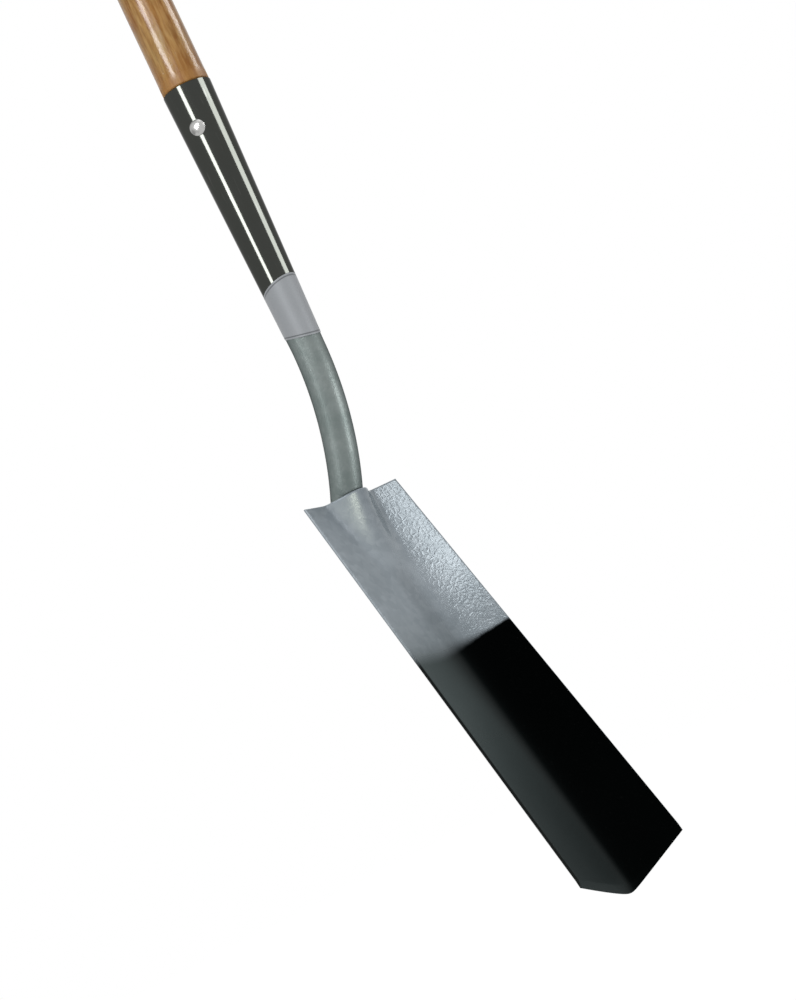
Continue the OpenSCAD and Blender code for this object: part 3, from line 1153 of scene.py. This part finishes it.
    def bead(self, start: np.ndarray, end: np.ndarray) -> Surface:
        """Weld bead: round rings along a line, swelling in overlapped ripples, with round ends.

        Args:
            start: Centre of the first end, in the tang's axes.
            end: Centre of the last end.

        Returns:
            The closed bead in the frame.
        """
        length = float(np.linalg.norm(end - start))
        axis = (end - start) / length
        side = np.cross(axis, [0.0, 1.0, 0.0])
        other = np.cross(axis, side)
        cap = self.weld_r * np.cos(np.linspace(*self.cap_turn, self.cap_n))
        run = np.linspace(0, length, self.weld_n)[1:-1]
        t = np.concatenate([-cap, run, length + cap[::-1]])
        over = np.maximum(np.maximum(-t, t - length), 0) / self.weld_r
        wave = 1 - ((t / self.ripple_l) % 1.0) ** 2
        share = np.sqrt(1 - over ** 2) * (1 - self.ripple_h + self.ripple_h * wave)
        share, t = share[:, None, None], t[:, None, None]
        angle = round_angles(self.weld_columns)[:, None]
        turn = np.cos(angle) * side + np.sin(angle) * other
        lag = self.ripple_lag * np.cos(angle) * axis * share ** self.lag_power
        rings = start + t * axis + self.weld_r * share * turn + lag
        poles = np.stack([start - axis * self.weld_r, end + axis * self.weld_r])
        return loft(self.plan.from_tang(rings), self.plan.from_tang(poles))

    def weld_place(self) -> Span:
        """X and Y of a side bead in the tang's axes, resting on the tang and the dish's back.

        Returns:
            Both, for the right side.
        """
        p = self.plan
        rise = p.dish_top * self.crease(2 * p.tube_r / self.top_w, 0.0) ** self.hollow
        wall = math.atan(rise / p.tube_r)
        off = p.tube_r + self.weld_r + p.weld_gap
        reach = (p.tube_r + p.weld_gap) * math.cos(wall) - self.weld_r - p.weld_gap
        turn = math.acos(reach / off) - wall
        return off * math.sin(turn), -off * math.cos(turn)

    def build(self) -> None:
        """Builds the blade and its three weld beads and dresses them."""
        p = self.plan
        place("blade_plate", self.blade(), Slot.BLADE, self.paint.material(self.effects))
        steel = self.weld_paint.material(self.effects)
        x, y = self.weld_place()
        for side, slot in ((Side.LEFT, Slot.WELD_LEFT), (Side.RIGHT, Slot.WELD_RIGHT)):
            low = np.array([side.value * x, y, -p.tang_l])
            bead = self.bead(low, low + [0, 0, self.weld_l])
            place("bead_" + side.name.lower(), bead, slot, steel)
        reach = p.tube_r / 2 - self.weld_r
        low = np.array([-reach, self.weld_r - p.tube_r, -p.tang_l - self.weld_r - p.weld_gap])
        place("bead_heel", self.bead(low, low * [-1, 1, 1]), Slot.WELD_HEEL, steel)


@dataclass
class SocketAssembly:
    """The socket and its goose neck, the two wrapped films and the cross rivet."""

    plan: SpadePlan
    effects: Effects
    columns: int = 128
    bore_l: float = 168.0
    bore_n: int = 6
    lip: float = 0.5
    lip_drop: float = 0.12
    lip_in: float = 0.1
    socket_n: int = 40
    neck_n: int = 60
    slim_from: float = 0.3
    heel_n: int = 48
    tang_n: int = 24
    cut_a: float = math.radians(30)
    cut_share: float = 0.97
    film_t: float = 0.4
    film_top: float = 0.2
    film_seam: float = 177.0
    film_low: float = 221.0
    film_n: int = 30
    film_columns: int = 193
    seam_rise: float = 5.0
    low_fall: float = 4.0
    lap_a: float = math.radians(75)
    lap_share: float = 0.38
    hem_share: float = 0.0006
    inset_share: float = 0.01
    hem_t: float = 0.25
    rivet_drop: float = 37.0
    rivet_a: float = math.radians(62)
    rivet_d: float = 6.0
    rivet_columns: int = 72
    head_d: float = 13.0
    head_h: float = 3.0
    head_n: int = 22
    pole_a: float = 0.03
    dome_low: float = 0.35
    rim_steps: tuple[Span, ...] = ((-0.12, 0.28), (0.0, 0.12), (-0.1, 0.0))
    paint: HammeredPaint = HammeredPaint("neck_paint", specular=0.25)
    dark: GlossFilm = GlossFilm("dark_film")
    silver: GlossFilm = GlossFilm(
        "silver_film", tone=(0.28, 0.297, 0.315), pale=(0.38, 0.397, 0.415),
        border=(0.15, 0.16, 0.17), edge=(1.0, 1.0, 1.0), rough=0.38, metal=0.40, border_at=1.9,
    )
    steel: BrightSteel = BrightSteel("rivet_steel")

    def ring(
        self, y: np.ndarray, z: np.ndarray, heading: np.ndarray, radius: np.ndarray
    ) -> np.ndarray:
        """Rings square to a path in the plane X = 0.

        Each point is the path's point plus the radius times the sine of the angle along X and
        its cosine along the path's front normal, which is -Y turned by the heading.

        Args:
            y: Path Y.
            z: Path Z.
            heading: Turn of the path from straight down towards the back.
            radius: Radius of each ring.

        Returns:
            Rings as stations by columns by three.
        """
        angle = round_angles(self.columns)
        y, z, heading, radius = (a[:, None] for a in (y, z, heading, radius))
        front = radius * np.cos(angle)
        back_y, back_z = y - front * np.cos(heading), z - front * np.sin(heading)
        return np.stack([radius * np.sin(angle), back_y, back_z], -1)

    def socket(self) -> np.ndarray:
        """Rings of the socket: up its bore, round the lip of its mouth and down its outside.

        Returns:
            Rings as stations by columns by three.
        """
        p = self.plan
        bore = np.linspace(self.bore_l, self.lip, self.bore_n)
        outside = np.linspace(self.lip, p.socket_l, self.socket_n)
        drop = np.concatenate([bore, [self.lip_drop, 0.0, 0.0, self.lip_drop], outside])
        lip = [p.wall_t - self.lip_in, p.wall_t - self.lip, self.lip, self.lip_in]
        inset = np.concatenate([np.full(self.bore_n, p.wall_t), lip, np.zeros(self.socket_n)])
        straight = np.zeros_like(drop)
        return self.ring(straight, p.mouth_z - drop, straight, p.socket_radius(drop) - inset)

    def tang(self) -> np.ndarray:
        """Rings of the tang, whose end is cut on a slope: each side runs to its own length.

        Returns:
            Rings as stations by columns by three, the last drawn in a little to the cut's middle.
        """
        p, angle = self.plan, round_angles(self.columns)
        r = p.tube_r - 2 * p.neck_step
        reach = p.tang_l - r * (1 - np.cos(angle)) / math.tan(self.cut_a)
        share = np.linspace(0, 1, self.tang_n + 1)[1:, None]
        x, y = r * np.sin(angle) + 0 * share, -r * np.cos(angle) + 0 * share
        rings = np.stack([x, y, -share * reach], -1)
        middle = rings[-1].mean(0)
        last = middle + (rings[-1] - middle) * self.cut_share
        return p.from_tang(np.concatenate([rings, last[None]]))

    def neck(self) -> Surface:
        """Socket, backward bend, heel bend and tang in one skin, from its bore to its cut end.

        The bends are arcs, and the radius falls by a small step along each of them.

        Returns:
            The closed surface.
        """
        p = self.plan
        bend = np.linspace(0, p.neck_a, self.neck_n + 1)[1:]
        slim = 1 - bend / p.neck_a - smooth_step(bend, self.slim_from, p.neck_a)
        back_y, back_z = p.neck_r * (1 - np.cos(bend)), p.neck_z - p.neck_r * np.sin(bend)
        back = self.ring(back_y, back_z, bend, p.tube_r + p.neck_step * slim)
        turn = np.linspace(p.neck_a, p.tang_a, self.heel_n + 1)[1:]
        fall = np.linspace(1, 2, self.heel_n + 1)[1:]
        y, z = p.heel_centre
        heel_y, heel_z = y + p.heel_r * np.cos(turn), z + p.heel_r * np.sin(turn)
        heel = self.ring(heel_y, heel_z, turn, p.tube_r - p.neck_step * fall)
        tang = self.tang()
        floor = np.array([0.0, 0.0, p.mouth_z - self.bore_l])
        return loft(np.concatenate([self.socket(), back, heel, tang]), [floor, tang[-1].mean(0)])

    def film(self, top: float, top_rise: float, low: float, low_fall: float) -> Surface:
        """Film wrapped once round the socket, thicker along its turn, so its lap is a step.

        Its edges follow the drop plus or minus a cosine of the angle from the front.

        Args:
            top: Drop of the upper edge.
            top_rise: Rise of the upper edge at the front.
            low: Drop of the lower edge.
            low_fall: Fall of the lower edge at the front.

        Returns:
            The closed film, with the distance from its nearest edge as an attribute.
        """
        p = self.plan
        turn = np.linspace(0, FULL_TURN, self.film_columns)
        angle = turn + self.lap_a
        front = np.cos(angle + math.pi / 2)
        upper, lower = top - top_rise * front, low + low_fall * front
        body = np.linspace(self.inset_share, 1 - self.inset_share, self.film_n)
        rows = np.concatenate([[0.0, self.hem_share], body, [1 - self.hem_share, 1.0]])
        share = np.concatenate([rows, rows[::-1]])[:, None]
        outer = np.repeat([1.0, 0.0], len(rows))[:, None]
        soft = np.where((share == 0) | (share == 1), self.hem_t, 1.0)
        thick = self.film_t * (1 - self.lap_share + self.lap_share * turn / FULL_TURN)
        drop = upper + (lower - upper) * share
        radius = p.socket_radius(drop) + p.seat_gap + thick * outer * soft
        rings = np.stack([radius * np.cos(angle), radius * np.sin(angle), p.mouth_z - drop], -1)
        surface = loft(rings)
        surface.marks["edge"] = np.minimum(drop - upper, lower - drop).ravel()
        return surface

    def rivet(self) -> Surface:
        """Cross rivet turned about its own axis: a shank and two heads, caps of a sphere.

        Returns:
            The closed rivet.
        """
        p = self.plan
        seat = p.socket_radius(self.rivet_drop) + self.film_t + 2 * p.seat_gap
        half = self.head_d / 2
        dome_r = (half ** 2 + self.head_h ** 2) / (2 * self.head_h)
        low_a = math.asin((dome_r - self.head_h + self.dome_low) / dome_r)
        centre = (0.0, seat + self.head_h - dome_r)
        dome = arc(centre, dome_r, math.pi / 2 - self.pole_a, low_a, self.head_n)
        rim = np.array([half, seat]) + self.rim_steps
        side = np.concatenate([dome, rim, [[self.rivet_d / 2, seat]]])
        rings = turned(np.concatenate([side, side[::-1] * [1, -1]]), self.rivet_columns)
        up = np.array([0.0, 0.0, 1.0])
        along = np.array([-math.sin(self.rivet_a), -math.cos(self.rivet_a), 0.0])
        middle, tip = up * (p.mouth_z - self.rivet_drop), (seat + self.head_h) * along
        basis = np.stack([up, np.cross(along, up), along])
        return loft(rings @ basis + middle, [middle + tip, middle - tip])

    def build(self) -> None:
        """Builds the neck, the films and the rivet and dresses them."""
        place("socket_tube", self.neck(), Slot.SOCKET, self.paint.material(self.effects))
        sleeve = self.film(self.film_top, 0.0, self.film_seam, -self.seam_rise)
        place("dark_sleeve", sleeve, Slot.SLEEVE, self.dark.material(self.effects))
        band = self.film(self.film_seam, self.seam_rise, self.film_low, self.low_fall)
        place("silver_band", band, Slot.BAND, self.silver.material(self.effects))
        place("cross_rivet", self.rivet(), Slot.RIVET, self.steel.material(self.effects))


@dataclass
class ShaftAssembly:
    """The turned ash shaft with its tenon, shoulder, taper and domed end."""

    plan: SpadePlan
    effects: Effects
    top_r: float = 18.0
    length: float = 850.0
    plain_l: float = 520.0
    tenon_l: float = 165.0
    shoulder_r: float = 2.0
    dome_h: float = 9.0
    pole_a: float = 0.02
    columns: int = 144
    tenon_n: int = 8
    shoulder_n: int = 10
    plain_n: int = 59
    taper_n: int = 39
    dome_n: int = 23
    wood: LacqueredAsh = LacqueredAsh("ash_lacquer", specular=0.26)

    def shaft(self) -> Surface:
        """Profile from the tenon's end up to the dome, turned about the shaft's axis.

        Returns:
            The closed shaft.
        """
        p, corner = self.plan, self.shoulder_r
        end, plain_z = p.mouth_z + self.length, p.mouth_z + self.plain_l
        drop = np.linspace(self.tenon_l, 0.0, self.tenon_n)
        tenon = np.stack([p.socket_radius(drop) - p.wall_t - p.seat_gap, p.mouth_z - drop], -1)
        bend = (p.shaft_r - corner, p.mouth_z + corner)
        shoulder = arc(bend, corner, -math.pi / 2, 0.0, self.shoulder_n)
        low, knee = (p.shaft_r, p.mouth_z + corner), (p.shaft_r, plain_z)
        plain = np.linspace(low, knee, self.plain_n + 1)[1:]
        taper = np.linspace(knee, (self.top_r, end - self.dome_h), self.taper_n + 1)[1:]
        dome_r = (self.top_r ** 2 + self.dome_h ** 2) / (2 * self.dome_h)
        low_a = math.asin((dome_r - self.dome_h) / dome_r)
        top_a = math.pi / 2 - self.pole_a
        dome = arc((0.0, end - dome_r), dome_r, low_a, top_a, self.dome_n + 1)[1:]
        profile = np.concatenate([tenon, shoulder, plain, taper, dome])
        poles = np.array([[0.0, 0.0, p.mouth_z - self.tenon_l], [0.0, 0.0, end]])
        return loft(turned(profile, self.columns), poles)

    def build(self) -> None:
        """Builds the shaft and dresses it."""
        place("ash_shaft", self.shaft(), Slot.SHAFT, self.wood.material(self.effects))


# Studio


def posed(axes: Sequence[np.ndarray], at: Point) -> Matrix:
    """Matrix of an object from its own axes and its place.

    Args:
        axes: Its X, Y and Z axes.
        at: Its place.

    Returns:
        The matrix, with the axes as its columns.
    """
    pose = np.eye(4)
    pose[:3, :3], pose[:3, 3] = np.stack(axes, -1), at
    return Matrix(pose.tolist())


@dataclass(frozen=True)
class SoftBox:
    """A rectangular lamp that faces a point.

    Its radiance is the brightness of its face, its size is a width and a height in metres, and
    its roll turns it about its own axis. Where it names pieces, only their gloss reflects it, and
    it adds nothing to the level of the light.
    """

    name: str
    at: Point
    to: Point
    size: Span
    radiance: float
    sheen_on: tuple[str, ...] = ()
    tint: Colour = (1.0, 1.0, 1.0)
    roll: float = 0.0

    def pose(self) -> Matrix:
        """Its pose: it faces its point, with its height nearest to Z before its roll.

        Returns:
            The matrix.
        """
        back = np.subtract(self.at, self.to)
        back /= np.linalg.norm(back)
        across = np.cross([0.0, 0.0, 1.0], back)
        across /= np.linalg.norm(across)
        up = np.cross(back, across)
        cos, sin = math.cos(self.roll), math.sin(self.roll)
        return posed([cos * across + sin * up, cos * up - sin * across, back], self.at)

    def build(self) -> None:
        """Adds the lamp; its power is its radiance times pi times its area."""
        data = bpy.data.lights.new(self.name, "AREA")
        data.shape = "RECTANGLE"
        data.size, data.size_y = self.size
        data.color = self.tint
        data.energy = self.radiance * math.pi * self.size[0] * self.size[1]
        box = bpy.data.objects.new(self.name, data)
        box.matrix_world = self.pose()
        box.visible_camera = False
        if self.sheen_on:
            pieces = bpy.data.collections.new(self.name + "_pieces")
            for piece in self.sheen_on:
                pieces.objects.link(bpy.data.objects[piece])
            box.light_linking.receiver_collection = pieces
            box.visible_diffuse = False
        link(box)


SHAFT_BOXES = (
    SoftBox(
        "box_left", (-1.46, -0.36, 0.25), (0.0, 0.0, 0.05), (0.42, 1.1), 22.0,
        ("dark_sleeve", "ash_shaft", "cross_rivet"),
    ),
    SoftBox(
        "box_right", (0.84, -1.24, 0.15), (0.0, 0.0, -0.15), (0.74, 1.2), 12.5,
        ("dark_sleeve", "cross_rivet"),
    ),
    SoftBox(
        "box_edge", (1.18, -0.92, 0.35), (0.0, 0.0, 0.0), (0.60, 1.2), 10.0, ("ash_shaft",)
    ),
)
NECK_BOXES = (
    SoftBox(
        "box_neck", (0.58, -1.10, -0.84), (0.0, 0.02, -0.43), (0.22, 0.80), 10.0,
        ("socket_tube", "silver_band"),
    ),
    SoftBox(
        "box_side", (-1.31, 0.08, -0.50), (0.0, 0.02, -0.43), (0.28, 1.4), 2.4, ("socket_tube",)
    ),
)
BLADE_BOXES = (
    SoftBox(
        "box_blade", (0.628, -1.356, 0.410), (0.04, 0.01, -0.56), (0.20, 0.38), 5.8,
        ("blade_plate",), roll=math.radians(-49),
    ),
    SoftBox(
        "box_hood", (-0.47, -1.40, -0.75), (-0.01, 0.018, -0.505), (0.70, 0.22), 24.0,
        ("blade_plate",), tint=(1.0, 0.95, 0.74),
    ),
)
LEVEL_BOXES = (
    SoftBox("key_left", (-1.5, -0.9, 0.9), (0.0, 0.0, -0.4), (1.0, 1.0), 6.0),
    SoftBox("fill_top", (0.4, -0.8, 2.2), (0.0, 0.0, 0.0), (1.4, 1.4), 0.8),
)


@dataclass
class Studio:
    """Pale floor, white surroundings, soft lamps and the camera."""

    floor_z: float = -1.17
    floor_half: float = 9.0
    floor_tone: Colour = (0.9, 0.9, 0.9)
    floor_glow: float = 1.16
    floor_share: float = 0.8
    white: Colour = (1.0, 1.0, 1.0)
    ambient: float = 0.44
    boxes: tuple[SoftBox, ...] = SHAFT_BOXES + NECK_BOXES + BLADE_BOXES + LEVEL_BOXES
    eye: Point = (-1.43382, -1.36480, -0.71308)
    right: Point = (0.64937, -0.63086, -0.42465)
    down: Point = (-0.22857, 0.37067, -0.90020)
    ahead: Point = (0.72531, 0.68163, 0.09651)
    lens: float = 91.040
    sensor_w: float = 36.0
    far: float = 60.0

    def seen(self, w: Wiring) -> Socket:
        """Tells rays that see the studio's white from those that only carry light.

        Args:
            w: Wiring of the world or of the floor's material.

        Returns:
            1 for rays from the camera, off gloss and through glass, and 0 for others.
        """
        path = w.add("ShaderNodeLightPath").outputs
        either = w.math("MAXIMUM", path["Is Camera Ray"], path["Is Glossy Ray"])
        return w.math("MAXIMUM", either, path["Is Transmission Ray"])

    def surroundings(self) -> None:
        """White surroundings that light the object evenly at a lower level."""
        world = bpy.data.worlds.new("studio_white")
        w = blank(world)
        strength = w.blend(self.seen(w), self.ambient, 1.0)
        glow = w.add("ShaderNodeBackground", Color=self.white, Strength=strength)
        w.add("ShaderNodeOutputWorld", Surface=glow.outputs[0])
        bpy.context.scene.world = world

    def floor(self) -> None:
        """Pale floor that looks nearly white and keeps a soft shadow."""
        h, z = self.floor_half, self.floor_z
        mesh = bpy.data.meshes.new("floor")
        mesh.from_pydata([(-h, -h, z), (h, -h, z), (h, h, z), (-h, h, z)], [], [(0, 1, 2, 3)])
        material = bpy.data.materials.new("floor_pale")
        w = blank(material)
        matt = w.add("ShaderNodeBsdfDiffuse", Color=self.floor_tone)
        glow = w.add("ShaderNodeEmission", Color=self.white, Strength=self.floor_glow)
        parts = (w.times(self.seen(w), self.floor_share), matt.outputs[0], glow.outputs[0])
        both = w.wired("ShaderNodeMixShader", {}, range(3), parts)
        w.add("ShaderNodeOutputMaterial", Surface=both[0])
        mesh.materials.append(material)
        floor = bpy.data.objects.new("floor", mesh)
        link(floor)

    def camera(self) -> None:
        """Camera at the photograph's viewing angle, from its axes in the frame."""
        data = bpy.data.cameras.new("camera")
        data.lens, data.sensor_width, data.clip_end = self.lens, self.sensor_w, self.far
        camera = bpy.data.objects.new("camera", data)
        camera.matrix_world = posed(
            [self.right, np.negative(self.down), np.negative(self.ahead)], self.eye
        )
        link(camera)
        bpy.context.scene.camera = camera

    def build(self) -> None:
        """Sets the view and builds the whole studio."""
        bpy.context.scene.view_settings.view_transform = "Standard"
        self.surroundings()
        self.floor()
        for box in self.boxes:
            box.build()
        self.camera()


def main() -> None:
    """Builds the sub-assemblies in order, then the studio."""
    logging.basicConfig(level=logging.INFO, format="%(name)s %(message)s")
    plan, effects = SpadePlan(), Effects()
    for assembly in (BladeAssembly, SocketAssembly, ShaftAssembly):
        assembly(plan, effects).build()
    Studio().build()


if __name__ == "__main__":
    main()
